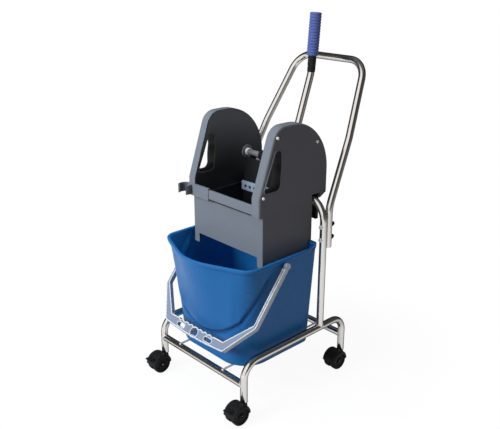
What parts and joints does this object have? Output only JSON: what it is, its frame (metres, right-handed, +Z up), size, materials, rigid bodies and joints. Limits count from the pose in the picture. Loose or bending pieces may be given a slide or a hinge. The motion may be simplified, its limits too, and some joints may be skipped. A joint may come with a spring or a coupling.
{
  "type": "single mop bucket trolley",
  "caption": "Chrome tube trolley on twin-wheel swivel casters with a blue bucket, pale bail and a grey lever mop wringer",
  "frame": {"origin": "on the floor under the middle of the outer box, with the casters trailing to the front", "axes": "+X to the trolley's right, +Y to the back where the push handle is, +Z up"},
  "size_m": [0.381, 0.5716, 1.0088],
  "materials": {
    "chrome_tube": "polished chrome plate on steel tube",
    "bright_steel": "bright zinc plated steel",
    "black_plastic": "moulded black plastic",
    "bucket_blue": "moulded blue plastic with a soft sheen",
    "bail_grey": "moulded pale grey plastic with a violet cast",
    "wringer_grey": "fine-grained grey moulded plastic",
    "light_grey": "moulded light grey plastic",
    "grip_blue": "ribbed soft blue plastic",
    "caster_black": "moulded black nylon",
    "caster_steel": "turned steel pins",
    "wheel_black": "black tread"
  },
  "bodies": {
    "frame": {"side_rail_left": "chrome_tube", "side_rail_right": "chrome_tube", "front_cross_tube": "chrome_tube", "rear_cross_tube": "chrome_tube", "bucket_support_rods": "bright_steel", "post_frame": "chrome_tube", "push_handle": "chrome_tube", "handle_bolts": "bright_steel", "handle_hand_nuts": "black_plastic", "caster_sockets": "black_plastic", "bucket": "bucket_blue", "bail_pins": "bail_grey"},
    "bail": {"bail": "bail_grey"},
    "wringer": {"wringer_cheek_left": "wringer_grey", "wringer_cheek_right": "wringer_grey", "cheek_liner_left": "black_plastic", "cheek_liner_right": "black_plastic", "cheek_screws": "bright_steel", "wringer_box": "wringer_grey", "wringer_front_lip": "wringer_grey", "drain_grid": "black_plastic", "hanger_hooks": "black_plastic", "jaw_axle": "chrome_tube", "shaft_bushes": "light_grey", "mop_clip": "wringer_grey"},
    "lever": {"lever_shaft": "bright_steel", "lever_hub": "black_plastic", "lever_tube": "chrome_tube", "lever_collar": "black_plastic", "lever_grip": "grip_blue", "drive_pinions": "black_plastic"},
    "jaw": {"jaw_plate": "black_plastic", "press_bar": "light_grey", "jaw_sectors": "black_plastic"},
    "swivel_front_left": {"caster_hood_front_left": "caster_black", "caster_stem_front_left": "caster_steel", "caster_axle_front_left": "caster_steel"},
    "wheel_front_left_left": {"caster_wheel_front_left_left": "wheel_black"},
    "wheel_front_left_right": {"caster_wheel_front_left_right": "wheel_black"},
    "pedal_front_left": {"brake_pedal_front_left": "caster_black"},
    "swivel_front_right": {"caster_hood_front_right": "caster_black", "caster_stem_front_right": "caster_steel", "caster_axle_front_right": "caster_steel"},
    "wheel_front_right_left": {"caster_wheel_front_right_left": "wheel_black"},
    "wheel_front_right_right": {"caster_wheel_front_right_right": "wheel_black"},
    "pedal_front_right": {"brake_pedal_front_right": "caster_black"},
    "swivel_rear_left": {"caster_hood_rear_left": "caster_black", "caster_stem_rear_left": "caster_steel", "caster_axle_rear_left": "caster_steel"},
    "wheel_rear_left_left": {"caster_wheel_rear_left_left": "wheel_black"},
    "wheel_rear_left_right": {"caster_wheel_rear_left_right": "wheel_black"},
    "swivel_rear_right": {"caster_hood_rear_right": "caster_black", "caster_stem_rear_right": "caster_steel", "caster_axle_rear_right": "caster_steel"},
    "wheel_rear_right_left": {"caster_wheel_rear_right_left": "wheel_black"},
    "wheel_rear_right_right": {"caster_wheel_rear_right_right": "wheel_black"}
  },
  "joints": [
    {"name": "bail_swing", "type": "hinge", "parent": "frame", "child": "bail", "pos_m": [0, -0.07865, 0.399], "axis": [-1, 0, 0], "range_deg": [0, 115]},
    {"name": "wringer_lift", "type": "slide", "parent": "frame", "child": "wringer", "axis": [0, 0, 1], "range_m": [0, 0.15]},
    {"name": "lever_pull", "type": "hinge", "parent": "wringer", "child": "lever", "pos_m": [0, 0.09036, 0.58787], "axis": [1, 0, 0], "range_deg": [0, 50]},
    {"name": "jaw_swing", "type": "hinge", "parent": "wringer", "child": "jaw", "pos_m": [0, 0.05135, 0.623], "axis": [1, 0, 0], "range_deg": [-48, 0]},
    {"name": "swivel_front_left_turn", "type": "hinge", "parent": "frame", "child": "swivel_front_left", "pos_m": [-0.17, -0.22165, 0.054], "axis": [0, 0, 1], "continuous": true},
    {"name": "wheel_front_left_left_roll", "type": "hinge", "parent": "swivel_front_left", "child": "wheel_front_left_left", "pos_m": [-0.182, -0.24565, 0.027], "axis": [1, 0, 0], "continuous": true},
    {"name": "wheel_front_left_right_roll", "type": "hinge", "parent": "swivel_front_left", "child": "wheel_front_left_right", "pos_m": [-0.158, -0.24565, 0.027], "axis": [1, 0, 0], "continuous": true},
    {"name": "pedal_front_left_press", "type": "hinge", "parent": "swivel_front_left", "child": "pedal_front_left", "pos_m": [-0.17, -0.27185, 0.04898], "axis": [1, 0, 0], "range_deg": [0, 18]},
    {"name": "swivel_front_right_turn", "type": "hinge", "parent": "frame", "child": "swivel_front_right", "pos_m": [0.17, -0.22165, 0.054], "axis": [0, 0, 1], "continuous": true},
    {"name": "wheel_front_right_left_roll", "type": "hinge", "parent": "swivel_front_right", "child": "wheel_front_right_left", "pos_m": [0.158, -0.24565, 0.027], "axis": [1, 0, 0], "continuous": true},
    {"name": "wheel_front_right_right_roll", "type": "hinge", "parent": "swivel_front_right", "child": "wheel_front_right_right", "pos_m": [0.182, -0.24565, 0.027], "axis": [1, 0, 0], "continuous": true},
    {"name": "pedal_front_right_press", "type": "hinge", "parent": "swivel_front_right", "child": "pedal_front_right", "pos_m": [0.17, -0.27185, 0.04898], "axis": [1, 0, 0], "range_deg": [0, 18]},
    {"name": "swivel_rear_left_turn", "type": "hinge", "parent": "frame", "child": "swivel_rear_left", "pos_m": [-0.17, 0.16835, 0.054], "axis": [0, 0, 1], "continuous": true},
    {"name": "wheel_rear_left_left_roll", "type": "hinge", "parent": "swivel_rear_left", "child": "wheel_rear_left_left", "pos_m": [-0.182, 0.14435, 0.027], "axis": [1, 0, 0], "continuous": true},
    {"name": "wheel_rear_left_right_roll", "type": "hinge", "parent": "swivel_rear_left", "child": "wheel_rear_left_right", "pos_m": [-0.158, 0.14435, 0.027], "axis": [1, 0, 0], "continuous": true},
    {"name": "swivel_rear_right_turn", "type": "hinge", "parent": "frame", "child": "swivel_rear_right", "pos_m": [0.17, 0.16835, 0.054], "axis": [0, 0, 1], "continuous": true},
    {"name": "wheel_rear_right_left_roll", "type": "hinge", "parent": "swivel_rear_right", "child": "wheel_rear_right_left", "pos_m": [0.158, 0.14435, 0.027], "axis": [1, 0, 0], "continuous": true},
    {"name": "wheel_rear_right_right_roll", "type": "hinge", "parent": "swivel_rear_right", "child": "wheel_rear_right_right", "pos_m": [0.182, 0.14435, 0.027], "axis": [1, 0, 0], "continuous": true}
  ],
  "couplings": [
    {"joint": "jaw_swing", "follows": "lever_pull", "ratio": -0.94444}
  ]
}
